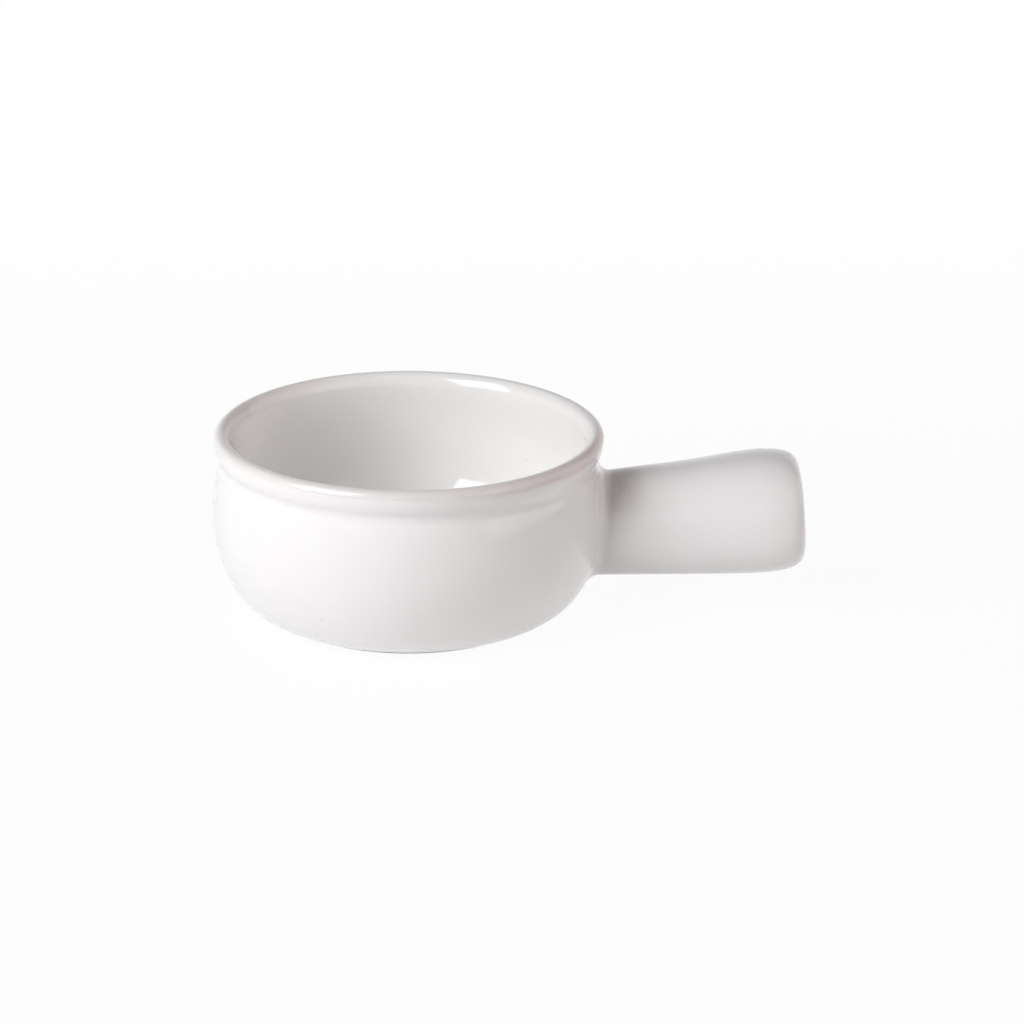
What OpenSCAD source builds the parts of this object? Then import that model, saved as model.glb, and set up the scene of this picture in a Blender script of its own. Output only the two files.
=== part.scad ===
// French onion soup crock: a round-bellied stoneware bowl with a rolled rim, a low turned foot and
// one hollow stick handle, glazed all over but for the foot. Sizes are in millimetres, angles in degrees.
// +Z is up, the bowl turns about Z, the table is z = 0 and the handle points along +X.

/* [Bowl] */
// Diameter over the rolled rim
rim_d = 127; // [122:0.5:138]
// Height from the table to the crown of the rim
crock_h = 61; // [57:0.5:68]
// How far the belly stands out past the rim, on the radius
belly_proud = 0.9; // [0.3:0.1:2.5]
// Height of the widest place of the belly
belly_z = 32.2; // [29:0.2:34]
// Thickness of the finished wall at the belly
wall_t = 4.4; // [3.6:0.1:5.4]
// Thickness of the finished floor over the foot well
floor_t = 5.3; // [4.4:0.1:7]
// Radius of the round between the inside wall and the floor
floor_round = 25; // [10:0.5:25]

/* [Rim] */
// How far the crown stands in from the outer edge of the rim
crown_in = 2.55; // [2.3:0.05:2.9]
// Height of the crown over the widest place of the rim
crown_rise = 2.55; // [2.3:0.05:2.9]
// Height over which the rim draws in below its widest place, were it to close
under_h = 6.15; // [5:0.05:7]
// How far the inside wall stands in from the crown
lip_in = 3.5; // [3:0.1:4]
// Depth below the crown at which the lip has run into the inside wall
lip_drop = 4.7; // [4:0.1:6]
// How far behind the rim's outer edge the wall would pass, carried up to the widest place of the rim
neck_depth = 4.63; // [4.2:0.01:5]
// Radius of the hollow under the rim
neck_round = 5.4; // [4:0.1:6.5]

/* [Foot] */
// How far the foot's edge stands in from the widest place, on the radius
foot_in = 18.9; // [17.5:0.1:21]
// Width of the bare ring that the crock stands on
foot_w = 5.5; // [3.5:0.1:8]
// Depth of the glazed well inside the foot
well_depth = 1.6; // [1.2:0.1:2.4]
// Height of the bare clay that shows under the glaze
foot_show = 0.4; // [0.3:0.05:0.8]
// Width of the softened edges of the foot
foot_edge = 0.25; // [0.1:0.05:0.3]
// Width of the straight underside outside the foot
underside_w = 3.13; // [2.5:0.01:4]
// Slope of that underside
underside_deg = 22; // [19:0.5:25]
// Radius of the turn from the underside into the belly
turn_round = 19; // [15:0.5:21]

/* [Handle] */
// Length from the belly to the end
handle_len = 64.9; // [50:0.1:80]
// Height of its underside above the table, at the belly
handle_rise = 12.1; // [10:0.1:14]
// Drop from the crown of the rim to its top edge, at the belly
handle_drop = 15.7; // [14:0.1:19]
// Rise of the handle's axis
handle_tilt_deg = 4.45; // [0:0.05:10]
// Width of the section at the belly
handle_root_w = 32.2; // [26:0.1:36]
// Height of the section at the end, without the lift
handle_end_h = 40.2; // [34:0.1:44]
// Width of the section at the end
handle_end_w = 41; // [34:0.1:46]
// Extra rise of the top edge towards the end
handle_lift = 1.3; // [0:0.1:3]
// Length over which the end closes
end_round = 53.7; // [30:0.1:60]
// Thickness of the cast wall, with its glaze
handle_wall = 4.8; // [3.6:0.1:7]
// Diameter of the vent hole beneath
vent_d = 2.4; // [1.5:0.1:4]
// Distance of the vent hole from the belly
vent_in = 17; // [12:0.5:30]

/* [Joint] */
// Radius of the finished fillet round the handle's root
fillet_round = 3; // [2:0.1:5]
// Thickness of the slip that beds the handle
bed_t = 0.6; // [0.3:0.05:1.2]
// Clearance between curved faces that meet
hair = 0.03; // [0.02:0.005:0.06]

/* [Glaze] */
// Thickness of the glaze
glaze_t = 0.4; // [0.3:0.05:0.6]

/* [Hidden] */
$fn = 180;
overrun = 2;

// Colours of the fired clay, the slip and the glaze
clay_colour = "#e4dac9";
slip_colour = "#ece5d8";
glaze_colour = "#f4f3f0";
liner_colour = "#eeedea";

// Squareness of the handle's section and of its end, seen from the side and from above
section_power = 2.5;
end_side_power = 6.84;
end_top_power = 9;

// Where along the handle the lift starts and over what length it rises
lift_start_share = 0.35;
lift_run_share = 0.5;

// Angle at which the fillet leaves the wall, so that it has no feather edge
fillet_start_deg = 10;

// Numbers of steps: round the handle, along it, in its hollow, in the fillet and in the arcs of the outlines,
// then those of the searches for a place
around = 48;
along = 20;
hollow_along = 10;
fillet_steps = 6;
arc_steps = 8;
along_power = 2.6;
solve_steps = 7;
halvings = 30;

// Rim and belly: the rim is made of quarter ovals, each given by its middle and its half sizes
rim_c = [rim_d / 2 - crown_in, crock_h - crown_rise];
over_half = [crown_in, crown_rise];
under_half = [crown_in, under_h];
lip_c = [rim_c.x, crock_h - lip_drop];
lip_half = [lip_in, lip_drop];
belly_r = rim_d / 2 + belly_proud;

// Underside: straight from the foot, then a turn, then the round that touches the turn and the widest place
slope = [cos(underside_deg), sin(underside_deg)];
slope_up = [-slope.y, slope.x];
foot_point = [belly_r - foot_in, foot_show];
turn_c = foot_point + underside_w / slope.x * slope + turn_round * slope_up;
to_turn = turn_c - [belly_r, belly_z];
belly_round = (pow(turn_round, 2) - to_turn * to_turn) / (2 * (to_turn.x + turn_round));
low_c = [belly_r - belly_round, belly_z];
turn_deg = heading(low_c, turn_c);

// Inside
lip_r = lip_c.x - lip_in;
inside_r = belly_r - wall_t;
inside_round = belly_round - wall_t;
floor_z = well_depth + floor_t;
// The round ends under the belly, also in a lower crock
corner_round = min(floor_round, belly_z - floor_z);
corner_z = floor_z + corner_round;
corner_c = [low_c.x + sqrt(pow(inside_round - corner_round, 2) - pow(corner_z - belly_z, 2)), corner_z];
corner_deg = heading(low_c, corner_c);

// Upper wall: one arc from the widest place up behind the rim
upper_rise = rim_c.y - belly_z;
upper_draw = belly_proud + neck_depth;
upper_round = (pow(upper_rise, 2) + pow(upper_draw, 2)) / (2 * upper_draw);
upper_c = [belly_r - upper_round, belly_z];

// Hollow under the rim: a circle that touches the upper wall and the underside of the rim
under_deg = neck_look(-90, 0);
neck_c = neck_at(under_deg);
upper_deg = heading(upper_c, neck_c);
neck_top_z = upper_c.y + (upper_round - glaze_t) * sin(upper_deg);

// Clay under the glaze, at the foot
foot_clay = foot_point + glaze_t * slope_up;
foot_in_r = foot_point.x - foot_w;
base_z = well_depth + glaze_t;
base_r = foot_clay.x + (base_z - foot_clay.y) / slope.y * slope.x;

// Handle's root: its height and the place of its axis
handle_root_h = crock_h - handle_drop - handle_rise;
handle_z = handle_rise + handle_root_h / 2;

// Heading from one point to another
function heading(a, b) = atan2(b.y - a.y, b.x - a.x);

// Points along an arc, without its first
function arc(c, r, from, to) =
    [for (i = [1:arc_steps]) let (a = from + (to - from) * i / arc_steps) c + r * [cos(a), sin(a)]];

// The place on an oval, at a depth under its face, where the face looks in the direction given
function oval_at(c, half, depth, look) =
    let (dir = [cos(look), sin(look)])
    let (stretched = [half.x * dir.x, half.y * dir.y])
    c + [half.x * stretched.x, half.y * stretched.y] / norm(stretched) - depth * dir;

// Points along an oval, without its first
function oval(c, half, depth, from, to) =
    [for (i = [1:arc_steps]) oval_at(c, half, depth, from + (to - from) * i / arc_steps)];

// Middle of a circle that touches the underside of the rim there, and the direction in which that underside
// looks where the circle touches the upper wall too
function neck_at(look) = oval_at(rim_c, under_half, -neck_round, look);
function neck_look(low, high, steps = halvings) =
    let (mid = (low + high) / 2)
    steps == 0 ? mid
    : norm(neck_at(mid) - upper_c) > upper_round + neck_round ? neck_look(low, mid, steps - 1)
    : neck_look(mid, high, steps - 1);

// Smooth step from 0 to 1
function ease(x) = let (k = min(max(x, 0), 1)) k * k * (3 - 2 * k);

function reversed(list) = [for (i = [len(list) - 1:-1:0]) list[i]];

// Outside of the wall at a depth under the glaze's face: turn, lower belly and upper belly
function wall_line(depth) = concat(
    arc(turn_c, turn_round - depth, underside_deg - 90, turn_deg),
    arc(low_c, belly_round - depth, turn_deg, 0),
    arc(upper_c, upper_round - depth, 0, upper_deg)
);

// Hollow under the rim, then the outside of the rim to its crown, and the lip from there to the inside wall
function rim_line(depth) = concat(
    arc(neck_c, neck_round + depth, upper_deg + 180, under_deg + 180),
    oval(rim_c, under_half, depth, under_deg, 0),
    oval(rim_c, over_half, depth, 0, 90)
);
function lip_line(depth) = oval(lip_c, lip_half, depth, 90, 180);

// A place on the inside wall, at a height between the belly and the lip
function inside_at(z, depth) =
    [inside_r + (lip_r - inside_r) * ease((z - belly_z) / (lip_c.y - belly_z)) + depth, z];

// Inside of the wall between two heights, without its first point
function inside_line(depth, from, to) =
    [for (i = [1:arc_steps]) inside_at(from + (to - from) * i / arc_steps, depth)];

// Lower inside: belly, corner and floor to the middle
function floor_line(depth) = concat(
    arc(low_c, inside_round + depth, 0, corner_deg),
    arc(corner_c, corner_round + depth, corner_deg, -90),
    [[0, floor_z - depth]]
);

// The whole outside from the glaze's lower edge to the crown, and the whole inside from there to the middle
function outer_line(depth) =
    concat([foot_point + depth * slope_up], [turn_c - (turn_round - depth) * slope_up], wall_line(depth),
        rim_line(depth));
function inner_line(depth) =
    concat([oval_at(lip_c, lip_half, depth, 90)], lip_line(depth), inside_line(depth, lip_c.y, neck_top_z),
        inside_line(depth, neck_top_z, belly_z), floor_line(depth));

// Radius of the wall's outside at a height, at a depth under the glaze's face, from the turn up into the
// hollow under the rim
function wall_at(z, depth) =
    z > upper_c.y + (upper_round - depth) * sin(upper_deg)
        ? neck_c.x - sqrt(pow(neck_round + depth, 2) - pow(min(abs(z - neck_c.y), neck_round + depth), 2))
    : z > belly_z ? upper_c.x + sqrt(pow(upper_round - depth, 2) - pow(z - belly_z, 2))
    : z > low_c.y + belly_round * sin(turn_deg)
        ? low_c.x + sqrt(pow(belly_round - depth, 2) - pow(belly_z - z, 2))
    : turn_c.x + sqrt(pow(turn_round - depth, 2) - pow(min(turn_c.y - z, turn_round - depth), 2));

// Signed power, for the rounded square of the handle's section
function spow(x, power) = sign(x) * pow(abs(x), power);

// How far the section has closed at a share of the end's length
function closed(k, power) = pow(1 - pow(k, power), 1 / power);

// Middle line of the handle, a distance out from the belly, and how far its top edge has lifted there
function lift_at(out) = handle_lift / 2 * ease((out / handle_len - lift_start_share) / lift_run_share);

// A point of the section across the handle: its angle round the section, its place along, its depth
function section_at(turn, out, depth) =
    let (t = out / handle_len)
    let (k = min(max((out - handle_len + end_round) / (end_round - depth), 0), 1))
    let (half_w = handle_root_w / 2 + (handle_end_w - handle_root_w) / 2 * t - depth)
    let (half_h = handle_root_h / 2 + (handle_end_h - handle_root_h) / 2 * t + lift_at(out) - depth)
    [
        half_w * closed(k, end_top_power) * spow(cos(turn), 2 / section_power),
        half_h * closed(k, end_side_power) * spow(sin(turn), 2 / section_power)
    ];

// The same point in space
function handle_at(turn, out, depth) =
    let (p = section_at(turn, out, depth))
    [
        belly_r + out * cos(handle_tilt_deg) - p.y * sin(handle_tilt_deg),
        p.x,
        handle_z + out * sin(handle_tilt_deg) + p.y * cos(handle_tilt_deg) + lift_at(out)
    ];

// Distance from the belly at which a line along the handle meets the wall at a depth
function root_at(turn, depth, wall_depth, steps = solve_steps) =
    steps == 0 ? 0
    : let (out = root_at(turn, depth, wall_depth, steps - 1), p = handle_at(turn, out, depth))
        out + (sqrt(pow(wall_at(p.z, wall_depth), 2) - p.y * p.y) - p.x) / cos(handle_tilt_deg);

// One ring of points round the handle, a distance out from the wall
function root_ring(depth, wall_depth, off) =
    [for (i = [0:around - 1]) let (turn = 360 * i / around)
        handle_at(turn, root_at(turn, depth, wall_depth) + off, depth)];

// Rings of the fillet, from the wall to the handle, at a depth under the glaze's face
function fillet_rings(depth) =
    let (r = fillet_round + depth)
    [for (i = [0:fillet_steps]) let (a = fillet_start_deg + (90 - fillet_start_deg) * i / fillet_steps)
        root_ring(depth - r * (1 - sin(a)), depth, r * (1 - cos(a)))];

// Rings from a distance off the wall to the end, closer together where the end closes
function length_rings(depth, wall_depth, off, steps) =
    [for (j = [1:steps - 1]) let (share = 1 - pow(1 - j / steps, along_power))
        [for (i = [0:around - 1])
            let (turn = 360 * i / around, start = root_at(turn, depth, wall_depth) + off)
            handle_at(turn, start + (handle_len - depth - start) * share, depth)]];

// Middle of the end face at a depth
function end_point(depth) = handle_at(0, handle_len - depth, depth);

// Growth of the section at the fillet's first ring, where that ring meets the wall, and the depth of the
// opening that it needs in the outer glaze
fillet_reach = fillet_round * (1 - sin(fillet_start_deg));
fillet_outs = [for (i = [0:around - 1]) root_at(360 * i / around, -fillet_reach, 0)];
fillet_out = max(fillet_outs);
opening_depth = overrun - min(fillet_outs);

// Faces between rings
function band(first, second) =
    [for (i = [0:around - 1]) let (n = (i + 1) % around)
        each [[first + i, first + n, second + n], [first + i, second + n, second + i]]];

// A closed solid through rings, from one middle point to another
module capped(start, rings, finish) {
    count = len(rings);
    last = 1 + count * around;
    points = concat([start], [for (ring = rings) each ring], [finish]);
    faces = concat(
        [for (i = [0:around - 1]) [0, 1 + (i + 1) % around, 1 + i]],
        [for (r = [0:count - 2]) each band(1 + r * around, 1 + (r + 1) * around)],
        [for (i = [0:around - 1]) [last, last - around + i, last - around + (i + 1) % around]]
    );
    polyhedron(points, faces);
}

// A closed ring-shaped solid through rings
module looped(rings) {
    count = len(rings);
    faces = [for (r = [0:count - 1]) each band(r * around, (r + 1) % count * around)];
    polyhedron([for (ring = rings) each ring], faces);
}

module turned(outline) {
    rotate_extrude()
        polygon(outline);
}

module vent() {
    translate([belly_r + vent_in, 0, 0])
        cylinder(h = handle_z, d = vent_d);
}

// Clay of the floor and wall, up to the hollow under the rim
module bowl() {
    color(clay_colour)
        turned(concat(
            [[0, base_z], [base_r, base_z], turn_c - (turn_round - glaze_t) * slope_up],
            wall_line(glaze_t),
            [inside_at(neck_top_z, glaze_t)],
            inside_line(glaze_t, neck_top_z, belly_z),
            floor_line(glaze_t)
        ));
}

// Clay of the rolled rim, with the hollow under it
module rolled_rim() {
    color(clay_colour)
        turned(concat(
            [upper_c + (upper_round - glaze_t) * [cos(upper_deg), sin(upper_deg)]],
            rim_line(glaze_t),
            lip_line(glaze_t),
            inside_line(glaze_t, lip_c.y, neck_top_z)
        ));
}

// Bare clay ring that the crock stands on
module foot_ring() {
    color(clay_colour)
        turned([
            [foot_in_r, foot_edge],
            [foot_in_r + foot_edge, 0],
            [foot_clay.x - foot_edge, 0],
            [foot_clay.x, foot_edge],
            foot_clay,
            [base_r, base_z],
            [foot_in_r, base_z]
        ]);
}

// Hollow cast handle, open at its root, with a vent beneath
module handle() {
    color(clay_colour)
        difference() {
            capped(
                end_point(handle_wall),
                concat(
                    reversed(length_rings(handle_wall, glaze_t, bed_t, hollow_along)),
                    [root_ring(handle_wall, glaze_t, bed_t)],
                    [root_ring(glaze_t, glaze_t, bed_t)],
                    [root_ring(glaze_t, glaze_t, fillet_round + glaze_t)],
                    length_rings(glaze_t, glaze_t, fillet_round + glaze_t, along)
                ),
                end_point(glaze_t)
            );
            vent();
        }
}

// Slip that beds the handle's root on the wall and fills the corner round it
module luting_slip() {
    color(slip_colour)
        looped(concat(
            [root_ring(glaze_t, glaze_t, bed_t)],
            [root_ring(handle_wall, glaze_t, bed_t)],
            [root_ring(handle_wall, glaze_t, hair)],
            [root_ring(glaze_t, glaze_t, hair)],
            [root_ring(glaze_t - (fillet_round + glaze_t) * (1 - sin(fillet_start_deg)), glaze_t, hair)],
            fillet_rings(glaze_t)
        ));
}

// Liner glaze: floor, wall and the inner half of the rim
module glaze_inside() {
    color(liner_colour)
        turned(concat(inner_line(0), reversed(inner_line(glaze_t))));
}

// Outer glaze: from the foot to the crown of the rim, open where the handle stands
module glaze_outside() {
    color(glaze_colour)
        difference() {
            turned(concat(outer_line(0), reversed(outer_line(glaze_t))));
            translate([belly_r, 0, handle_z])
                rotate([0, 90 - handle_tilt_deg, 0])
                    translate([0, 0, -opening_depth])
                        linear_extrude(opening_depth + overrun)
                            polygon([for (i = [0:around - 1])
                                let (p = section_at(360 * i / around, fillet_out, -fillet_reach - hair))
                                [-p.y, p.x]]);
        }
}

// Glaze of the handle and of the fillet at its root
module glaze_handle() {
    color(glaze_colour)
        difference() {
            capped(
                end_point(glaze_t),
                concat(
                    reversed(length_rings(glaze_t, glaze_t, fillet_round + glaze_t, along)),
                    reversed(fillet_rings(glaze_t)),
                    [root_ring(-fillet_reach, glaze_t, hair)],
                    fillet_rings(0),
                    length_rings(0, 0, fillet_round, along)
                ),
                end_point(0)
            );
            vent();
        }
}

// Glaze in the well inside the foot
module glaze_base() {
    color(glaze_colour)
        translate([0, 0, well_depth])
            cylinder(h = glaze_t, r = foot_in_r);
}

bowl();
rolled_rim();
foot_ring();
handle();
luting_slip();
glaze_inside();
glaze_outside();
glaze_handle();
glaze_base();
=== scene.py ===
# Onion soup crock in white glazed stoneware: the coats of glaze, the bare foot and a soft studio light
import math

import bpy
import numpy as np
from mathutils import Matrix, Vector


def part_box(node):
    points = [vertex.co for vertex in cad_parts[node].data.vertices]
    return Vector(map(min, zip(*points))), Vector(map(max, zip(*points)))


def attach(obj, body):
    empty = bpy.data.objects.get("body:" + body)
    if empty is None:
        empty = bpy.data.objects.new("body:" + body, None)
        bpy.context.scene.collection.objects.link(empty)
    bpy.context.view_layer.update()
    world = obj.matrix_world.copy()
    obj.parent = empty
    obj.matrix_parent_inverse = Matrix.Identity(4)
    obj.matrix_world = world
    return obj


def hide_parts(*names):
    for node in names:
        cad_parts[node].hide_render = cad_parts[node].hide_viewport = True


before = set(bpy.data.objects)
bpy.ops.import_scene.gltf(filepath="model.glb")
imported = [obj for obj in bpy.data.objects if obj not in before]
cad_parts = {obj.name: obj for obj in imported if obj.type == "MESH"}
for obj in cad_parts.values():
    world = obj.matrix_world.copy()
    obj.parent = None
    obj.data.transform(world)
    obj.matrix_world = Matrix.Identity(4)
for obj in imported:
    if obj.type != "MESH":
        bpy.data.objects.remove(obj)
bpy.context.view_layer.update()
mm = 0.001  # sizes below are in millimetres, Blender works in metres
print("frame loaded:", ", ".join(sorted(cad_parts)))

# The bowl's outline; the belly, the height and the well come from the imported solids
outerLow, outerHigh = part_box("glaze_outside")
wellLow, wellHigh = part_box("glaze_base")
bowlShape = {
    "height": outerHigh.z / mm,
    "bellyOut": -outerLow.x / mm,
    "wellOut": wellHigh.x / mm,
    "wellDeep": wellLow.z / mm,
    "coat": 0.4,  # thickness of the glaze
    "rimWide": 127,
    "crownIn": 2.55,  # the rolled rim is made of quarter ovals: out and up to its crown
    "crownRise": 2.55,
    "underHigh": 6.15,  # from its widest place down, were it to close
    "lipIn": 3.5,  # from its crown in and down to the inside wall
    "lipDrop": 4.7,
    "neckDeep": 4.63,  # the upper wall, drawn on up to the rim, stands this far inside it
    "neckRound": 5.4,  # radius of the hollow between them
    "bellyUp": 32.2,
    "wall": 4.4,
    "floor": 5.3,
    "floorRound": 25,
    "footIn": 18.9,  # from the belly in to the glaze's lower edge
    "footBare": 0.4,  # from the table up to that edge
    "underWide": 3.13,  # the straight underside, before it turns up into the belly
    "underSlope": 22,  # degrees
    "turnRound": 19,
    "segments": 320,
    "stepTurn": 2.4,  # degrees that the outline may turn from one row to the next
    "stepLong": 1.1,
}

# Small unevenness of a thrown bowl that was dipped and fired
bowlHand = {
    "ridge": 0.035,  # height of the throwing ridges
    "ridgeApart": 7.5,
    "ridgeClimb": 1,  # ridges climbed in one turn of the wheel
    "ridgeParts": ((0.6, 1, 0), (0.4, 1.7, 1.3)),  # share, how often, shift in radians
    "ridgeLow": (8, 10),  # they begin at this height, and are full this much higher
    "ridgeHigh": (46, 6),  # and fade out above this one
    "ridgeOut": (40, 12),  # the floor has none
    "calm": 9,  # the ridges fade out this close to the handle
    "rimUp": (46, 9),  # the rim is uneven from here up
    "rimWave": 0.05,
    "rimWaves": 3,
    "waveShift": 0.8,
    "waveShare": 0.999,  # keeps the crown a hair under its full height
    "rimDip": 0.24,  # the rim sinks a little at the back, on the handle's side
    "dipAt": 62,  # degrees
}
halvings = 30  # steps in which the hollow under the rim is found
rootSteps = 9  # steps in which the handle's lines find the wall
nearZero = 1e-9  # keeps divisions and logarithms finite
creaseDeg = 40  # sharper edges than this stay sharp


def ease(x):
    k = np.clip(x, 0, 1)
    return k * k * (3 - 2 * k)


def past(x, span):
    # 0 up to the start of the span, 1 from its end on
    start, length = span
    return ease((x - start) / length)


def waves(angle, parts):
    # A sum of waves, each with its share, how often it swings in one turn, and its shift
    return sum(share * np.sin(often * angle + shift) for share, often, shift in parts)


def headingTo(a, b):
    return math.degrees(math.atan2(b[1] - a[1], b[0] - a[0]))


def ovalAt(centre, half, depth, look):
    # Places on an oval, at a depth under its face, where the face looks in the directions given
    angle = np.radians(look)
    facing = np.stack([np.cos(angle), np.sin(angle)], axis=-1)
    stretched = np.array(half) * facing
    return centre + half * stretched / np.linalg.norm(stretched, axis=-1, keepdims=True) - depth * facing


def bowlCentres(s):
    # Middles of the arcs that the bowl's outline is made of, and the headings where they touch
    crown = s["rimWide"] / 2 - s["crownIn"]
    c = {"rim": np.array([crown, s["height"] - s["crownRise"]])}
    c["lip"] = np.array([crown, s["height"] - s["lipDrop"]])
    c["over"], c["under"] = [s["crownIn"], s["crownRise"]], [s["crownIn"], s["underHigh"]]
    slope = math.radians(s["underSlope"])
    along, up = np.array([math.cos(slope), math.sin(slope)]), np.array([-math.sin(slope), math.cos(slope)])
    c["up"] = up
    c["foot"] = np.array([s["bellyOut"] - s["footIn"], s["footBare"]])
    c["turn"] = c["foot"] + s["underWide"] / along[0] * along + s["turnRound"] * up
    gap = c["turn"] - [s["bellyOut"], s["bellyUp"]]
    c["bellyR"] = (s["turnRound"] ** 2 - gap @ gap) / (2 * (gap[0] + s["turnRound"]))
    c["low"] = np.array([s["bellyOut"] - c["bellyR"], s["bellyUp"]])
    c["turnDeg"] = headingTo(c["low"], c["turn"])
    rise, draw = c["rim"][1] - s["bellyUp"], s["bellyOut"] - s["rimWide"] / 2 + s["neckDeep"]
    c["upperR"] = (rise**2 + draw**2) / (2 * draw)
    c["upper"] = np.array([s["bellyOut"] - c["upperR"], s["bellyUp"]])
    # the hollow under the rim touches the upper wall and the rim's underside: its place is found by halving
    low, high = -90, 0
    for _ in range(halvings):
        c["underDeg"] = (low + high) / 2
        c["neck"] = ovalAt(c["rim"], c["under"], -s["neckRound"], c["underDeg"])
        if math.hypot(*(c["neck"] - c["upper"])) > c["upperR"] + s["neckRound"]:
            high = c["underDeg"]
        else:
            low = c["underDeg"]
    c["upperDeg"] = headingTo(c["upper"], c["neck"])
    # the inside runs beside the belly, then round into the floor
    c["insideR"] = c["bellyR"] - s["wall"]
    c["floorZ"] = s["wellDeep"] + s["floor"]
    c["cornerR"] = min(s["floorRound"], s["bellyUp"] - c["floorZ"])
    cornerZ = c["floorZ"] + c["cornerR"]
    cornerX = c["low"][0] + math.sqrt((c["insideR"] - c["cornerR"]) ** 2 - (cornerZ - s["bellyUp"]) ** 2)
    c["corner"] = np.array([cornerX, cornerZ])
    c["cornerDeg"] = headingTo(c["low"], c["corner"])
    return c


def arc(s, centre, radius, depth, fromDeg, toDeg):
    # Points along an arc without its first; the rows are set by the face, so that every depth has as many
    turn = abs(toDeg - fromDeg)
    count = math.ceil(max(turn / s["stepTurn"], math.radians(turn) * radius / s["stepLong"]))
    angle = np.radians(np.linspace(fromDeg, toDeg, count + 1)[1:])
    return centre + (radius + depth) * np.column_stack([np.cos(angle), np.sin(angle)])


def oval(s, centre, half, depth, fromDeg, toDeg):
    # Points along an oval without its first
    count = math.ceil(abs(toDeg - fromDeg) / s["stepTurn"])
    return ovalAt(centre, half, depth, np.linspace(fromDeg, toDeg, count + 1)[1:])


def outerLine(s, c, depth):
    # From the glaze's lower edge at the foot up to the crown of the rim
    turnStart = c["turn"] - (s["turnRound"] - depth) * c["up"]
    return np.vstack([
        [c["foot"] + depth * c["up"]],
        [turnStart],
        arc(s, c["turn"], s["turnRound"], -depth, s["underSlope"] - 90, c["turnDeg"]),
        arc(s, c["low"], c["bellyR"], -depth, c["turnDeg"], 0),
        arc(s, c["upper"], c["upperR"], -depth, 0, c["upperDeg"]),
        arc(s, c["neck"], s["neckRound"], depth, c["upperDeg"] + 180, c["underDeg"] + 180),
        oval(s, c["rim"], c["under"], depth, c["underDeg"], 0),
        oval(s, c["rim"], c["over"], depth, 0, 90),
    ])


def innerLine(s, c, depth):
    # From the crown of the rim down the inside to the middle of the floor
    lipUp = c["lip"][1]
    height = np.linspace(lipUp, s["bellyUp"], math.ceil((lipUp - s["bellyUp"]) / s["stepLong"]) + 1)[1:]
    lip, belly = c["lip"][0] - s["lipIn"], s["bellyOut"] - s["wall"]
    wall = belly + (lip - belly) * ease((height - s["bellyUp"]) / (lipUp - s["bellyUp"]))
    lipHalf = [s["lipIn"], s["lipDrop"]]
    # the flat floor needs only half as many rows
    floorRows = math.ceil(c["corner"][0] / s["stepLong"] / 2)
    floorOut = np.linspace(c["corner"][0], 0, floorRows + 1)[1:-1]
    return np.vstack([
        [ovalAt(c["lip"], lipHalf, depth, 90)],
        oval(s, c["lip"], lipHalf, depth, 90, 180),
        np.column_stack([wall + depth, height]),
        arc(s, c["low"], c["insideR"], depth, 0, c["cornerDeg"]),
        arc(s, c["corner"], c["cornerR"], depth, c["cornerDeg"], -90),
        np.column_stack([floorOut, np.full(len(floorOut), c["floorZ"] - depth)]),
    ])


def turned(s, line):
    # The outline spun round the wheel's axis: rows of points, in millimetres
    angle = np.linspace(0, 2 * math.pi, s["segments"], endpoint=False)
    out, up = line[:, 0][:, None], line[:, 1][:, None]
    return np.stack([out * np.cos(angle), out * np.sin(angle), up + 0 * angle], axis=2)


def nearHandle(points):
    # 1 at the handle's root, 0 away from it
    x, y, z = points[..., 0], points[..., 1], points[..., 2]
    wide = handleShape["rootWide"] / 2 + handleShape["fillet"] + bowlHand["calm"]
    high = handleRoot["high"] / 2 + handleShape["fillet"] + bowlHand["calm"]
    apart = np.hypot(y / wide, (z - handleRoot["z"]) / high)
    calmShare = bowlHand["calm"] / wide
    return np.where(x > 0, 1 - ease((apart - 1 + calmShare) / calmShare), 0)


def thrown(points):
    # The wheel's ridges climb the wall as a slow spiral, and the rim isn't quite level or round
    h = bowlHand
    angle = np.arctan2(points[..., 1], points[..., 0])
    out = np.hypot(points[..., 0], points[..., 1])
    up = points[..., 2]
    phase = 2 * math.pi * up / h["ridgeApart"] - h["ridgeClimb"] * angle
    wallOnly = past(up, h["ridgeLow"]) * (1 - past(up, h["ridgeHigh"])) * past(out, h["ridgeOut"])
    # the ridges only draw the face in, so that the bowl keeps within its outline
    ridge = h["ridge"] * (waves(phase, h["ridgeParts"]) - 1) * wallOnly * (1 - nearHandle(points))
    wave = h["waveShare"] * h["rimWave"] * np.cos(h["rimWaves"] * angle + h["waveShift"])
    dip = h["rimDip"] * ((1 + np.cos(angle - math.radians(h["dipAt"]))) / 2) ** 2
    moved = points.copy()
    moved[..., 0] += ridge * np.cos(angle)
    moved[..., 1] += ridge * np.sin(angle)
    moved[..., 2] -= (h["rimWave"] + dip - wave) * past(up, h["rimUp"])
    return moved


def bend(face):
    # How sharply the face turns outwards at each point, per millimetre; hollows are negative
    aroundStep = np.roll(face, -1, 1) - np.roll(face, 1, 1)
    alongStep = np.gradient(face, axis=0)
    normal = np.cross(aroundStep, alongStep)
    normal /= np.maximum(np.linalg.norm(normal, axis=2, keepdims=True), nearZero)
    aroundTurn = np.roll(normal, -1, 1) - np.roll(normal, 1, 1)
    alongTurn = np.gradient(normal, axis=0)
    around = (aroundTurn * aroundStep).sum(2) / np.maximum((aroundStep**2).sum(2), nearZero)
    along = (alongTurn * alongStep).sum(2) / np.maximum((alongStep**2).sum(2), nearZero)
    return around + along


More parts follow.
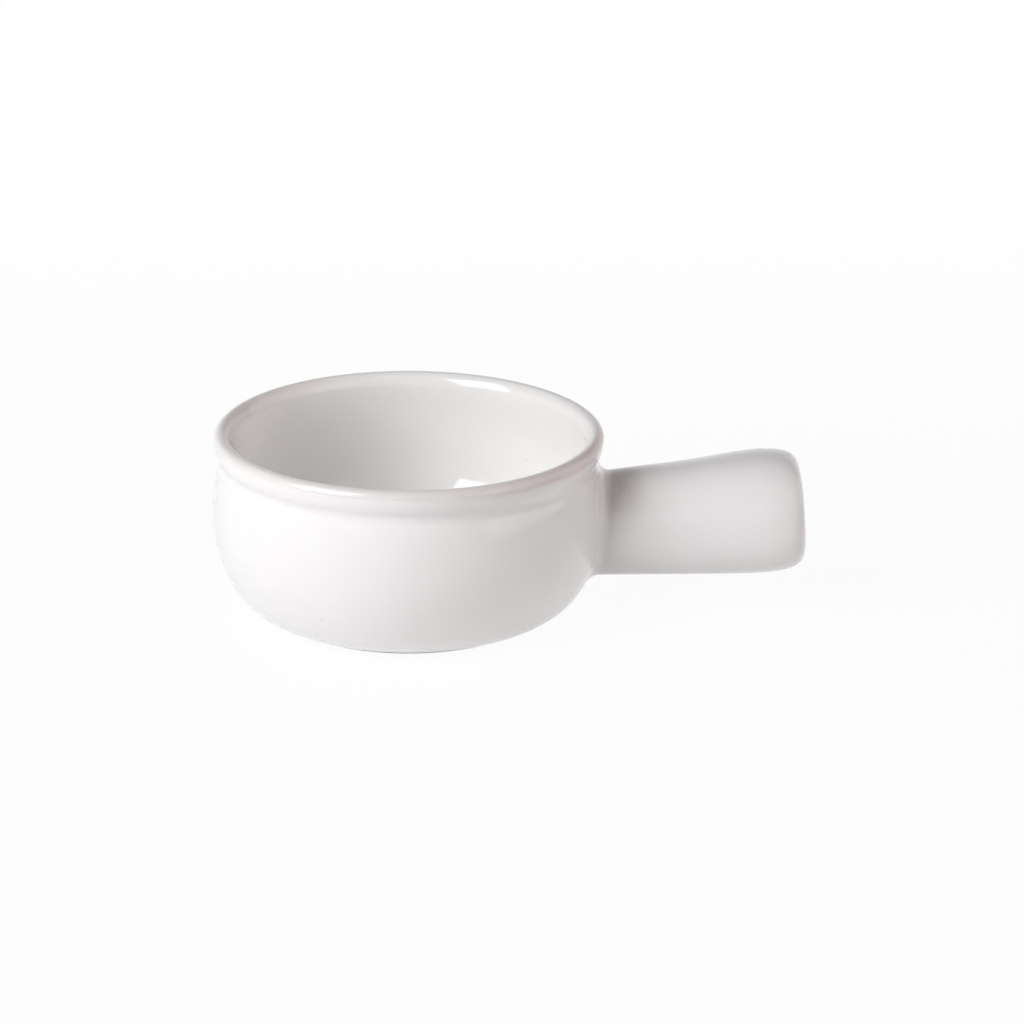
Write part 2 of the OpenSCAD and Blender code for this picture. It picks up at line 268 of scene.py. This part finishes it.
# How the glaze drained before it was fired, with painted shade on the inner lip and the handle's root:
# thinness, in the same measure as the bend
glazeRunAndShade = {
    "rim": 0.6,  # over the rim and its underside
    "line": 0.5,  # along its shoulder
    "lineDrop": 0.6,  # mm below its widest place
    "lineStray": 0.22,  # mm by which it strays up and down
    "strayParts": ((1, 7, 0.4), (0.6, 17, 2.1), (0.4, 41, 0)),
    "lineWide": 0.45,
    "lineBroken": 0.15,
    "brokenParts": ((1, 29, 1.7), (1, 11, 0)),  # two waves, multiplied
    "fade": 3.4,  # mm over which it thickens again below the line
    "thinAt": -30,  # degrees round from the handle, towards the front, where it is thinnest
    "thinWide": 38,
    "elsewhere": 0.3,  # share of that thinness away from there
    "lip": 0.5,  # painted shade over the inner side of the rim, away from the handle, in the tint of thin glaze
    "lipShadeFull": 0.5,  # share of the lip's drop down to which the painted shade is full
    "root": 0.75,  # painted shadow on top of the handle's root, where the bowl shades it
    "rootShadowLong": 22,
}


def hump(x, wide):
    return np.exp(-((x / wide) ** 2))


def drainedOutside(points):
    # Thinnest over the rim and along its shoulder, on the front beside the handle
    s = glazeRunAndShade
    angle = np.arctan2(points[..., 1], points[..., 0])
    lineUp = bowlShape["height"] - bowlShape["crownRise"] - s["lineDrop"]
    below = lineUp + s["lineStray"] * waves(angle, s["strayParts"]) - points[..., 2]
    first, second = (waves(angle, [part]) for part in s["brokenParts"])
    line = s["line"] * (1 - s["lineBroken"] * (1 - first * second)) * hump(below, s["lineWide"])
    there = s["elsewhere"] + (1 - s["elsewhere"]) * hump(np.degrees(angle) - s["thinAt"], s["thinWide"])
    return (s["rim"] * (1 - ease(below / s["fade"])) + line) * there


def paintedLipShade(points):
    # Painted shade over the inner lip, on the side away from the handle, in the tint of thin glaze
    below = (bowlShape["height"] - points[..., 2]) / bowlShape["lipDrop"]
    away = -np.cos(np.arctan2(points[..., 1], points[..., 0]))
    return glazeRunAndShade["lip"] * ease(away) * (1 - ease(below - glazeRunAndShade["lipShadeFull"]))


def paintedRootShadow(points):
    # Painted shadow on top of the handle, close to the bowl, in the tint of thin glaze
    out = points[..., 0] - bowlShape["bellyOut"]
    up = (points[..., 2] - handleShape["rise"]) / handleRoot["high"]
    return glazeRunAndShade["root"] * (1 - ease(out / glazeRunAndShade["rootShadowLong"])) * ease(up)


def addObject(name, data):
    thing = bpy.data.objects.new(name, data)
    bpy.context.scene.collection.objects.link(thing)
    return thing


def coat(name, face, back, tips=None, drainedAndShade=0):
    # One closed coat of glaze: its face, its back on the clay, and the edges that join them
    rows, segments = face.shape[:2]
    points = [face.reshape(-1, 3), back.reshape(-1, 3)]
    i, j = np.meshgrid(np.arange(rows - 1), np.arange(segments), indexing="ij")
    here, beside = i * segments + j, i * segments + (j + 1) % segments
    quads = np.stack([here, beside, beside + segments, here + segments], axis=2).reshape(-1, 4)
    side = rows * segments
    faces = quads.tolist() + (quads[:, ::-1] + side).tolist()
    ring = np.arange(segments)
    ringNext = (ring + 1) % segments
    faces += np.column_stack([ring, ring + side, ringNext + side, ringNext]).tolist()
    last = (rows - 1) * segments
    if tips is None:
        ends = [last + ring, last + ringNext, side + last + ringNext, side + last + ring]
        faces += np.column_stack(ends).tolist()
    else:
        points.append(np.array(tips))
        faces += [[last + a, last + b, 2 * side] for a, b in zip(ring, ringNext)]
        faces += [[side + last + b, side + last + a, 2 * side + 1] for a, b in zip(ring, ringNext)]
    mesh = bpy.data.meshes.new(name)
    mesh.from_pydata((np.vstack(points) * mm).tolist(), [], faces)
    mesh.update()
    mesh.shade_smooth()
    mesh.set_sharp_from_angle(angle=math.radians(creaseDeg))
    # where the glaze's face bends sharply, or has drained, it is thin; painted shade adds to the same value
    thinnessAndShade = np.zeros(len(mesh.vertices), np.float32)
    thinnessAndShade[:side] = (bend(face) + drainedAndShade).ravel()
    mesh.attributes.new("glazeThinAndShade", "FLOAT", "POINT").data.foreach_set("value", thinnessAndShade)
    return addObject(name, mesh)


# The stick handle: cast, flared and lifted towards its end, closed with a soft flat end
handleShape = {
    "long": 64.9,
    "rise": 12.1,  # from the table up to its root
    "drop": 15.7,  # from the crown of the rim down to its root
    "tilt": 4.45,  # degrees
    "rootWide": 32.2,
    "endWide": 41,
    "endHigh": 40.2,
    "lift": 1.3,  # its upper side rises by this much more
    "liftStart": 0.35,  # from this share of its length on
    "liftRun": 0.5,
    "endRound": 53.7,  # length over which it closes, nearly all of that at the very end
    "squareness": 2.5,  # of the section: 2 is an oval, more is squarer
    "endSide": 6.84,  # the same for its end, seen from the side
    "endTop": 9,  # and from above
    "fillet": 3,
    "segments": 160,
    "filletRows": 14,
    "lengthRows": 90,
    "endRows": 40,
    "endJoin": 0.26,  # share of the end's round at which its rows begin to run in
    "backStart": 10,  # degrees round the fillet at which the coat's back begins
}
handleRoot = {"high": bowlShape["height"] - handleShape["drop"] - handleShape["rise"]}
handleRoot["z"] = handleShape["rise"] + handleRoot["high"] / 2


def closing(rest, power):
    # How far the section has closed, from what is left of the end's length
    return (-np.expm1(power * np.log1p(-np.clip(rest, 0, 1 - nearZero)))) ** (1 / power)


def handlePoint(turn, out, rest, depth):
    # A point of the handle: its angle round the section, its distance out from the belly, its depth
    h = handleShape
    share = out / h["long"]
    lift = h["lift"] / 2 * ease((share - h["liftStart"]) / h["liftRun"])
    halfWide = h["rootWide"] / 2 + (h["endWide"] - h["rootWide"]) / 2 * share - depth
    halfHigh = handleRoot["high"] / 2 + (h["endHigh"] - handleRoot["high"]) / 2 * share + lift - depth
    c, s = np.cos(turn), np.sin(turn)
    power = 2 / h["squareness"]
    y = halfWide * closing(rest, h["endTop"]) * np.sign(c) * np.abs(c) ** power
    up = halfHigh * closing(rest, h["endSide"]) * np.sign(s) * np.abs(s) ** power
    tilt = math.radians(h["tilt"])
    x = bowlShape["bellyOut"] + out * math.cos(tilt) - up * math.sin(tilt)
    z = handleRoot["z"] + out * math.sin(tilt) + up * math.cos(tilt) + lift
    return np.stack([x, y + 0 * x, z], axis=-1)


def wallOut(c, z, depth):
    # Radius of the bowl's outside at a height, at a depth under the glaze's face
    s = bowlShape
    upperTop = c["upper"][1] + (c["upperR"] - depth) * math.sin(math.radians(c["upperDeg"]))
    turnTop = c["low"][1] + c["bellyR"] * math.sin(math.radians(c["turnDeg"]))
    hollow = s["neckRound"] + depth
    inHollow = c["neck"][0] - np.sqrt(hollow**2 - np.minimum(np.abs(z - c["neck"][1]), hollow) ** 2)
    above = c["upper"][0] + np.sqrt((c["upperR"] - depth) ** 2 - (z - s["bellyUp"]) ** 2)
    below = c["low"][0] + np.sqrt((c["bellyR"] - depth) ** 2 - (z - s["bellyUp"]) ** 2)
    turn = s["turnRound"] - depth
    under = c["turn"][0] + np.sqrt(turn**2 - np.clip(c["turn"][1] - z, -turn, turn) ** 2)
    lower = np.where(z > turnTop, below, under)
    return np.where(z > upperTop, inHollow, np.where(z > s["bellyUp"], above, lower))


def rootOut(c, turn, depth, wallDepth):
    # Distance from the belly at which each line along the handle meets the bowl's wall
    out = np.zeros_like(turn)
    for _ in range(rootSteps):
        p = handlePoint(turn, out, np.ones_like(out), depth)
        reach = np.sqrt(wallOut(c, p[:, 2], wallDepth) ** 2 - p[:, 1] ** 2)
        out = out + (reach - p[:, 0]) / math.cos(math.radians(handleShape["tilt"]))
    return out


def handleRows(c, depth, startDeg):
    # Rings from the foot of the fillet to the middle of the end face
    h = handleShape
    turn = np.linspace(0, 2 * math.pi, h["segments"], endpoint=False)
    radius = h["fillet"] + depth
    rows = []
    for angle in np.radians(np.linspace(startDeg, 90, h["filletRows"] + 1)):
        ringDepth = depth - radius * (1 - math.sin(angle))
        out = rootOut(c, turn, ringDepth, depth) + radius * (1 - math.cos(angle))
        rows.append(handlePoint(turn, out, np.ones_like(out), ringDepth))
    start = rootOut(c, turn, depth, depth) + radius
    left = h["long"] - depth - start
    # along the sides, closer at the root, then round the corner of the end, then in over its flat face
    endShare = (h["endRound"] - depth) / left.max()
    side = 1 - ease(np.linspace(0, 1 / 2, h["lengthRows"] + 1)[1:]) * 2 * (1 - h["endJoin"] * endShare)
    inward = np.linspace(closing(side[-1] / endShare, h["endSide"]), 0, h["endRows"] + 1)[1:-1]
    restEnd = -np.expm1(np.log1p(-(inward ** h["endSide"])) / h["endSide"])
    for share in np.concatenate([side, restEnd * endShare]):
        out = h["long"] - depth - left * share
        rest = np.minimum(left * share / (h["endRound"] - depth), 1)
        rows.append(handlePoint(turn, out, rest, depth))
    tip = handlePoint(np.zeros(1), np.full(1, h["long"] - depth), np.zeros(1), depth)[0]
    tip[1] = 0
    return np.stack(rows), tip


def cutAway(piece, tool):
    # Takes the tool's shape out of the piece, for good
    cut = piece.modifiers.new("cut", "BOOLEAN")
    cut.operation = "DIFFERENCE"
    cut.solver = "EXACT"
    cut.object = tool
    bpy.context.view_layer.update()
    cutMesh = bpy.data.meshes.new_from_object(piece.evaluated_get(bpy.context.evaluated_depsgraph_get()))
    piece.modifiers.clear()
    cutMesh.name = piece.name
    piece.data = cutMesh
    bpy.data.objects.remove(tool)


def plug(name, rings):
    # A closed tool through rings of points, flat at both ends
    count = rings.shape[1]
    faces = [list(range(count))[::-1], [(len(rings) - 1) * count + k for k in range(count)]]
    for r in range(len(rings) - 1):
        for k in range(count):
            a, b = r * count + k, r * count + (k + 1) % count
            faces.append([a, b, b + count, a + count])
    mesh = bpy.data.meshes.new(name)
    mesh.from_pydata((rings.reshape(-1, 3) * mm).tolist(), [], faces)
    return addObject(name, mesh)


centres = bowlCentres(bowlShape)
coatDeep = bowlShape["coat"]

outerFace = thrown(turned(bowlShape, outerLine(bowlShape, centres, 0)))
outerBack = turned(bowlShape, outerLine(bowlShape, centres, coatDeep))
outerCoat = coat("outer_glaze", outerFace, outerBack, drainedAndShade=drainedOutside(outerFace))

innerFace = thrown(turned(bowlShape, innerLine(bowlShape, centres, 0)))
innerBack = turned(bowlShape, innerLine(bowlShape, centres, coatDeep))
floorZ = centres["floorZ"]
innerTips = [[0, 0, floorZ], [0, 0, floorZ - coatDeep]]
# the liner's coat carries painted shade on its lip, away from the handle
innerCoat = coat("liner_glaze", innerFace, innerBack, innerTips, paintedLipShade(innerFace))
print("bowl glazed inside and out")

handleFace, handleTip = handleRows(centres, 0, 0)
handleBack, backTip = handleRows(centres, coatDeep, handleShape["backStart"])
# the handle's coat carries a painted shadow on top of its root
handleCoat = coat("handle_glaze", handleFace, handleBack, [handleTip, backTip], paintedRootShadow(handleFace))
print("handle glazed:", len(handleFace), "rings")

# The outer glaze is open where the handle stands, under the foot of its fillet
openingShape = {
    "filletShare": 0.55,  # share of the fillet that the opening takes in
    "ends": (-14, 8),  # mm out from the belly
    "segments": 96,
}
around = np.linspace(0, 2 * math.pi, openingShape["segments"], endpoint=False)
openingDepth = -openingShape["filletShare"] * handleShape["fillet"]
openingRings = [
    handlePoint(around, np.full_like(around, out), np.ones_like(around), openingDepth)
    for out in openingShape["ends"]
]
cutAway(outerCoat, plug("opening_tool", np.stack(openingRings)))

# The vent beneath the handle, with the glaze rolled into it
ventShape = {
    "out": 17,  # mm from the belly
    "wide": 2.4,
    "soft": 0.35,  # the glaze rolls into the vent over this width
    "softRows": 6,
    "past": 2,  # mm by which the tool stands out below
    "segments": 48,
}
ventRadius, ventSoft = ventShape["wide"] / 2, ventShape["soft"]
ventX = bowlShape["bellyOut"] + ventShape["out"]
ventZ = handlePoint(np.full(1, -math.pi / 2), np.full(1, ventShape["out"]), np.ones(1), 0)[0][2]
ventLine = [(ventRadius, handleRoot["z"])]
for angle in np.radians(np.linspace(0, 90, ventShape["softRows"] + 1)):
    outward, upward = ventSoft * (1 - math.cos(angle)), ventSoft * (1 - math.sin(angle))
    ventLine.append((ventRadius + outward, ventZ + upward))
ventLine.append((ventRadius + ventSoft + ventShape["past"], ventZ - ventShape["past"]))
around = np.linspace(0, -2 * math.pi, ventShape["segments"], endpoint=False)
ventRings = [
    np.column_stack([ventX + radius * np.cos(around), radius * np.sin(around), np.full_like(around, z)])
    for radius, z in ventLine
]
cutAway(handleCoat, plug("vent_tool", np.stack(ventRings)))

# The well inside the foot: glaze wiped back from the ring, so its edge is a low rounded bank
wellShape = {
    "edge": 0.21,  # mm by which its face draws back at the edge
    "bank": 2,  # mm over which it does
    "rows": 60,
    "segments": 192,
}
wellOut = np.linspace(bowlShape["wellOut"], 0, wellShape["rows"] + 1)[:-1]
bank = np.clip((bowlShape["wellOut"] - wellOut) / wellShape["bank"], 0, 1)
wellTop = np.column_stack([wellOut, np.full(len(wellOut), wellHigh.z / mm)])
wellFaceZ = wellLow.z / mm + wellShape["edge"] * (1 - np.sqrt(1 - (1 - bank) ** 2))
wellSpec = dict(bowlShape, segments=wellShape["segments"])
wellCoat = coat(
    "well_glaze",
    turned(wellSpec, np.column_stack([wellOut, wellFaceZ]))[:, ::-1],
    turned(wellSpec, wellTop)[:, ::-1],
    [[0, 0, wellFaceZ[-1]], [0, 0, wellHigh.z / mm]],
)
print("vent and well done")

for piece, node, slot in (
    (outerCoat, "glaze_outside", "glaze"),
    (innerCoat, "glaze_inside", "liner_glaze"),
    (handleCoat, "glaze_handle", "glaze"),
    (wellCoat, "glaze_base", "glaze"),
):
    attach(piece, "root")
    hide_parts(node)


# Materials

mixA, mixB, mixOut = 6, 7, 2  # the colour sockets of a Mix node


def fromHex(code, alpha=1.0):
    # sRGB hex to Blender's linear colour
    parts = [int(code[k:k + 2], 16) / 255 for k in (1, 3, 5)]
    return [p / 12.92 if p <= 0.04045 else ((p + 0.055) / 1.055) ** 2.4 for p in parts] + [alpha]


def linkTo(tree, node, links):
    for key, source in links.items():
        tree.links.new(source, node.inputs[key])


def addNode(tree, kind, settings=None, values=None, links=None):
    # Adds a node, sets its options and sockets, and links other nodes' outputs into it
    node = tree.nodes.new(kind)
    for key, value in (settings or {}).items():
        setattr(node, key, value)
    for key, value in (values or {}).items():
        node.inputs[key].default_value = value
    linkTo(tree, node, links or {})
    return node


def perMetre(sizeMm):
    return 1 / (sizeMm * mm)


def newMaterial(name):
    material = bpy.data.materials.new(name)
    material.use_nodes = True
    tree = material.node_tree
    tree.nodes.clear()
    shader = addNode(tree, "ShaderNodeBsdfPrincipled")
    addNode(tree, "ShaderNodeOutputMaterial", links={"Surface": shader.outputs["BSDF"]})
    return material, tree, shader


# Tin-white stoneware glaze, dipped and fired glossy: an opaque, faintly uneven white that goes pinkish
# where it runs thin over the clay, with the odd pinhole and a soft orange-peel face; the same pinkish tint
# is painted shade on the inner lip and the handle's root
glazeLook = {
    "white": "#f6f5f5",
    "shade": "#f2f1f0",  # where the dip lies a little thinner
    "thinAndShade": "#cfbcb7",  # the clay warms it on sharp edges; also the colour of the painted shade
    "speck": "#a89c92",
    "cloud": 26,  # mm across the soft clouds
    "mottle": 0.7,  # mm across the speckle of a thin edge
    "mottleMost": 0.3,  # how far it shifts the thinness, from its thickest to its thinnest
    "thinFrom": 0.22,  # per mm of bend
    "thinTo": 1.2,
    "thinMost": 0.6,
    "speckApart": 13,  # mm from one pinhole's cell to the next
    "speckWide": 0.28,  # mm from its middle to its edge
    "speckCore": 0.4,  # share of that where it is full
    "speckShare": 0.8,  # share of the cells that have none
    "peel": 2.2,  # mm from one dimple of the face to the next
    "peelDeep": 0.0022,  # mm
    "rough": 0.05,
    "roughMore": 0.03,
    "ior": 1.5,
}


def glazeMaterial(name, look):
    material, tree, shader = newMaterial(name)
    where = addNode(tree, "ShaderNodeTexCoord").outputs["Object"]
    cloud = addNode(tree, "ShaderNodeTexNoise", None, {"Scale": perMetre(look["cloud"]), "Detail": 2},
                    {"Vector": where})
    white = addNode(tree, "ShaderNodeMix", {"data_type": "RGBA"},
                    {mixA: fromHex(look["white"]), mixB: fromHex(look["shade"])}, {0: cloud.outputs["Fac"]})
    # thin glaze over sharp edges, and the painted shade, broken up by the clay's own speckle
    thinAndShade = addNode(tree, "ShaderNodeAttribute", {"attribute_name": "glazeThinAndShade"})
    mottle = addNode(tree, "ShaderNodeTexNoise", None, {"Scale": perMetre(look["mottle"]), "Detail": 4},
                     {"Vector": where})
    uneven = addNode(tree, "ShaderNodeMath", {"operation": "MULTIPLY_ADD"},
                     {1: look["mottleMost"], 2: -look["mottleMost"] / 2}, {0: mottle.outputs["Fac"]})
    thinAndShadeHere = addNode(tree, "ShaderNodeMath", {"operation": "ADD"}, None,
                       {0: thinAndShade.outputs["Fac"], 1: uneven.outputs["Value"]})
    thinAndShadeMask = addNode(tree, "ShaderNodeMapRange", {"interpolation_type": "SMOOTHSTEP"},
                       {"From Min": look["thinFrom"], "From Max": look["thinTo"],
                        "To Max": look["thinMost"]},
                       {"Value": thinAndShadeHere.outputs["Value"]})
    edgedAndShaded = addNode(tree, "ShaderNodeMix", {"data_type": "RGBA"}, {mixB: fromHex(look["thinAndShade"])},
                    {0: thinAndShadeMask.outputs["Result"], mixA: white.outputs[mixOut]})
    # sparse specks: the middles of a few cells only
    cells = addNode(tree, "ShaderNodeTexVoronoi", None, {"Scale": perMetre(look["speckApart"])},
                    {"Vector": where})
    wide = look["speckWide"] / look["speckApart"]
    dot = addNode(tree, "ShaderNodeMapRange", None,
                  {"From Min": wide, "From Max": wide * look["speckCore"]},
                  {"Value": cells.outputs["Distance"]})
    pick = addNode(tree, "ShaderNodeSeparateColor", links={"Color": cells.outputs["Color"]})
    chosen = addNode(tree, "ShaderNodeMath", {"operation": "GREATER_THAN"}, {1: look["speckShare"]},
                     {0: pick.outputs["Red"]})
    speck = addNode(tree, "ShaderNodeMath", {"operation": "MULTIPLY"}, None,
                    {0: dot.outputs["Result"], 1: chosen.outputs["Value"]})
    colour = addNode(tree, "ShaderNodeMix", {"data_type": "RGBA"}, {mixB: fromHex(look["speck"])},
                     {0: speck.outputs["Value"], mixA: edgedAndShaded.outputs[mixOut]})
    rough = addNode(tree, "ShaderNodeMapRange", None,
                    {"To Min": look["rough"], "To Max": look["rough"] + look["roughMore"]},
                    {"Value": cloud.outputs["Fac"]})
    # the face dimples softly, and a pinhole is a dent in it
    peel = addNode(tree, "ShaderNodeTexNoise", None, {"Scale": perMetre(look["peel"]), "Detail": 1},
                   {"Vector": where})
    pinhole = addNode(tree, "ShaderNodeMath", {"operation": "SUBTRACT"}, None,
                      {0: peel.outputs["Fac"], 1: speck.outputs["Value"]})
    face = addNode(tree, "ShaderNodeBump", None, {"Strength": 1, "Distance": look["peelDeep"] * mm},
                   {"Height": pinhole.outputs["Value"]})
    shader.inputs["IOR"].default_value = look["ior"]
    linkTo(tree, shader, {
        "Base Color": colour.outputs[mixOut],
        "Roughness": rough.outputs["Result"],
        "Normal": face.outputs["Normal"],
    })
    return material


# Buff stoneware fired bare, with the fine grit of its body; matt and a little chalky to the eye
clayLook = {
    "buff": "#dccdb6",
    "pale": "#e8ddca",  # soft patches of the body
    "grog": "#b99f80",  # its darker grains
    "patch": 9,  # mm across the patches
    "grit": 0.5,  # mm across the grains
    "grainFrom": 0.6,  # the grit's noise from which a grain begins to show
    "grainTo": 0.72,
    "grainMost": 0.7,
    "rough": 0.82,
    "roughMore": 0.1,
    "deep": 0.02,  # mm by which the grains stand out
    "ior": 1.5,
}


def clayMaterial(name, look):
    material, tree, shader = newMaterial(name)
    where = addNode(tree, "ShaderNodeTexCoord").outputs["Object"]
    patch = addNode(tree, "ShaderNodeTexNoise", None, {"Scale": perMetre(look["patch"]), "Detail": 3},
                    {"Vector": where})
    grit = addNode(tree, "ShaderNodeTexNoise", None, {"Scale": perMetre(look["grit"]), "Detail": 3},
                   {"Vector": where})
    body = addNode(tree, "ShaderNodeMix", {"data_type": "RGBA"},
                   {mixA: fromHex(look["buff"]), mixB: fromHex(look["pale"])}, {0: patch.outputs["Fac"]})
    grains = addNode(tree, "ShaderNodeMapRange", None,
                     {"From Min": look["grainFrom"], "From Max": look["grainTo"],
                      "To Max": look["grainMost"]},
                     {"Value": grit.outputs["Fac"]})
    colour = addNode(tree, "ShaderNodeMix", {"data_type": "RGBA"}, {mixB: fromHex(look["grog"])},
                     {0: grains.outputs["Result"], mixA: body.outputs[mixOut]})
    rough = addNode(tree, "ShaderNodeMapRange", None,
                    {"To Min": look["rough"], "To Max": look["rough"] + look["roughMore"]},
                    {"Value": grit.outputs["Fac"]})
    face = addNode(tree, "ShaderNodeBump", None, {"Strength": 1, "Distance": look["deep"] * mm},
                   {"Height": grit.outputs["Fac"]})
    shader.inputs["IOR"].default_value = look["ior"]
    linkTo(tree, shader, {
        "Base Color": colour.outputs[mixOut],
        "Roughness": rough.outputs["Result"],
        "Normal": face.outputs["Normal"],
    })
    return material


def finish(target, material):
    target.data.materials.clear()
    target.data.materials.append(material)


outerGlaze = glazeMaterial("tin_white_glaze", glazeLook)
# Liner glaze, poured in by itself: the same gloss, a touch whiter and more even
linerGlaze = glazeMaterial("liner_glaze", dict(glazeLook, white="#faf9f8", shade="#f8f7f6"))
firedClay = clayMaterial("fired_stoneware", clayLook)
# The foot's ring, wiped clean of glaze with a wet sponge: a matt, slightly darker buff
bareFoot = clayMaterial("wiped_foot_stoneware", dict(clayLook, buff="#d8c9b1"))
# Slip of the same clay, sieved: paler, with a finer and fainter grit
slipLook = dict(clayLook, buff="#e4dac8", pale="#ece5d8", grog="#d2c3ac", grit=0.3)
joiningSlip = clayMaterial("fired_slip", slipLook)
for piece in (outerCoat, handleCoat, wellCoat):
    finish(piece, outerGlaze)
finish(innerCoat, linerGlaze)
for node in ("bowl", "rolled_rim", "handle"):
    finish(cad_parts[node], firedClay)
finish(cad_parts["foot_ring"], bareFoot)
finish(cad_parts["luting_slip"], joiningSlip)
print("finishes on")

# Camera at the photograph's viewing angle: a long lens a little above the rim
view = {
    "elevation": 19.8485,  # degrees
    "roll": 0.3803,
    "away": 1300,
    "aimX": 33.6915,
    "aimZ": 32.1041,
    "focal": 3962.48,  # pixels, in an image 1024 across
    "image": 1024,
    "sensor": 36,
    "near": 50,
    "far": 50000,
}
cameraData = bpy.data.cameras.new("studio_camera")
cameraData.sensor_width = view["sensor"]
cameraData.lens = view["focal"] * view["sensor"] / view["image"]
cameraData.clip_start, cameraData.clip_end = view["near"] * mm, view["far"] * mm
camera = addObject("studio_camera", cameraData)
bpy.context.scene.camera = camera
elevation, roll = math.radians(view["elevation"]), math.radians(view["roll"])
back = Vector((0, -math.cos(elevation), math.sin(elevation)))
level, upright = Vector((1, 0, 0)), Vector((0, math.sin(elevation), math.cos(elevation)))
right = math.cos(roll) * level + math.sin(roll) * upright
above = math.cos(roll) * upright - math.sin(roll) * level
aim = Vector((view["aimX"], 0, view["aimZ"]))
turnTo = Matrix((right, above, back)).transposed().to_4x4()
camera.matrix_world = Matrix.Translation((aim + view["away"] * back) * mm) @ turnTo

# Studio: a pale table and white walls, a softbox from the front left, a wide weaker one from the right,
# and a lamp behind the crock that faces away from it and lights only the table
studio = {
    "table": "#fafafa",
    "tableCloud": "#f8f8f8",
    "tableGrain": 40,
    "tableWide": 6000,
    "tableRough": 0.9,
    "tableSpecular": 0.2,
    "tableGlow": 0.95,  # share of plain white in what the camera and the reflections see of the table
    "air": 0.02,  # light from all round
    "ceiling": 0.3,  # the walls of the studio are white, its ceiling is grey
    "ceilingFrom": 0.12,  # height, as a share of the distance, from which the walls turn grey
    "ceilingTo": 0.45,
    "middle": (10, 0, 30),  # the lamps turn round this point
}
# Azimuths are in degrees, from the photograph's side round towards the handle's
lamps = {
    "key": {
        "azimuth": -51, "elevation": 33, "away": 1300,
        "wide": 820, "high": 950, "watts": 15.8, "tint": "#ffffff",
    },
    "fill": {
        "azimuth": 85, "elevation": 22, "away": 1500,
        "wide": 2600, "high": 1500, "watts": 14.4, "tint": "#fff6f7",
    },
}
# Where it hangs, and how far behind the crock it aims at the table
backdrop = {
    "behind": 620, "above": 700, "aim": 1550,
    "wide": 2600, "high": 700, "watts": 14, "tint": "#ffffff",
}


def seenDirectly(tree):
    # 1 for what the camera sees, also in a reflection or through glass, and 0 for what only gives light
    paths = addNode(tree, "ShaderNodeLightPath")
    seen = paths.outputs["Is Camera Ray"]
    for kind in ("Is Glossy Ray", "Is Transmission Ray"):
        either = addNode(tree, "ShaderNodeMath", {"operation": "MAXIMUM"}, None,
                         {0: seen, 1: paths.outputs[kind]})
        seen = either.outputs["Value"]
    return seen


# Matt white board: no gloss, a hardly visible cloudiness, and it greys only where light is kept off it
def tableTop():
    material, tree, shader = newMaterial("pale_table")
    where = addNode(tree, "ShaderNodeTexCoord").outputs["Object"]
    grain = addNode(tree, "ShaderNodeTexNoise", None,
                    {"Scale": perMetre(studio["tableGrain"]), "Detail": 2}, {"Vector": where})
    colour = addNode(tree, "ShaderNodeMix", {"data_type": "RGBA"},
                     {mixA: fromHex(studio["table"]), mixB: fromHex(studio["tableCloud"])},
                     {0: grain.outputs["Fac"]})
    shader.inputs["Roughness"].default_value = studio["tableRough"]
    shader.inputs["Specular IOR Level"].default_value = studio["tableSpecular"]
    linkTo(tree, shader, {"Base Color": colour.outputs[mixOut]})
    share = addNode(tree, "ShaderNodeMath", {"operation": "MULTIPLY"}, {1: studio["tableGlow"]},
                    {0: seenDirectly(tree)})
    white = addNode(tree, "ShaderNodeEmission", None, {"Color": (1, 1, 1, 1), "Strength": 1.0})
    mixed = addNode(tree, "ShaderNodeMixShader", None, None,
                    {0: share.outputs["Value"], 1: shader.outputs["BSDF"], 2: white.outputs["Emission"]})
    linkTo(tree, tree.nodes["Material Output"], {"Surface": mixed.outputs["Shader"]})
    half = studio["tableWide"] / 2 * mm
    corners = [(-half, -half, 0), (half, -half, 0), (half, half, 0), (-half, half, 0)]
    mesh = bpy.data.meshes.new("table_top")
    mesh.from_pydata(corners, [], [(0, 1, 2, 3)])
    table = addObject("table_top", mesh)
    finish(table, material)


def softbox(name, spec, place, facing):
    # A flat lamp at a place, in millimetres, that faces a direction
    light = bpy.data.lights.new(name, "AREA")
    light.shape = "RECTANGLE"
    light.size, light.size_y = spec["wide"] * mm, spec["high"] * mm
    light.energy = spec["watts"]
    light.color = fromHex(spec["tint"])[:3]
    lamp = addObject(name, light)
    lamp.location = place * mm
    lamp.rotation_euler = (-facing).to_track_quat("Z", "Y").to_euler()


tableTop()
for name, spec in lamps.items():
    azimuth, elevation = math.radians(spec["azimuth"]), math.radians(spec["elevation"])
    direction = Vector((
        math.sin(azimuth) * math.cos(elevation),
        -math.cos(azimuth) * math.cos(elevation),
        math.sin(elevation),
    ))
    softbox(name + "_softbox", spec, Vector(studio["middle"]) + spec["away"] * direction, -direction)
backdropPlace = Vector((0, backdrop["behind"], backdrop["above"]))
softbox("backdrop_softbox", backdrop, backdropPlace, Vector((0, backdrop["aim"], 0)) - backdropPlace)

world = bpy.data.worlds.new("studio_air")
bpy.context.scene.world = world
world.use_nodes = True
sky = world.node_tree
sky.nodes.clear()
strength = addNode(sky, "ShaderNodeMapRange", None, {"To Min": studio["air"], "To Max": 1.0},
                   {"Value": seenDirectly(sky)})
skyward = addNode(sky, "ShaderNodeSeparateXYZ", None, None,
                  {0: addNode(sky, "ShaderNodeTexCoord").outputs["Generated"]})
shade = addNode(sky, "ShaderNodeMapRange", {"interpolation_type": "SMOOTHSTEP"},
                {"From Min": studio["ceilingFrom"], "From Max": studio["ceilingTo"],
                 "To Min": 1.0, "To Max": studio["ceiling"]},
                {"Value": skyward.outputs["Z"]})
air = addNode(sky, "ShaderNodeBackground", None, None,
              {"Color": shade.outputs["Result"], "Strength": strength.outputs["Result"]})
addNode(sky, "ShaderNodeOutputWorld", links={"Surface": air.outputs["Background"]})
bpy.context.scene.view_settings.view_transform = "Standard"
print("camera and light set")
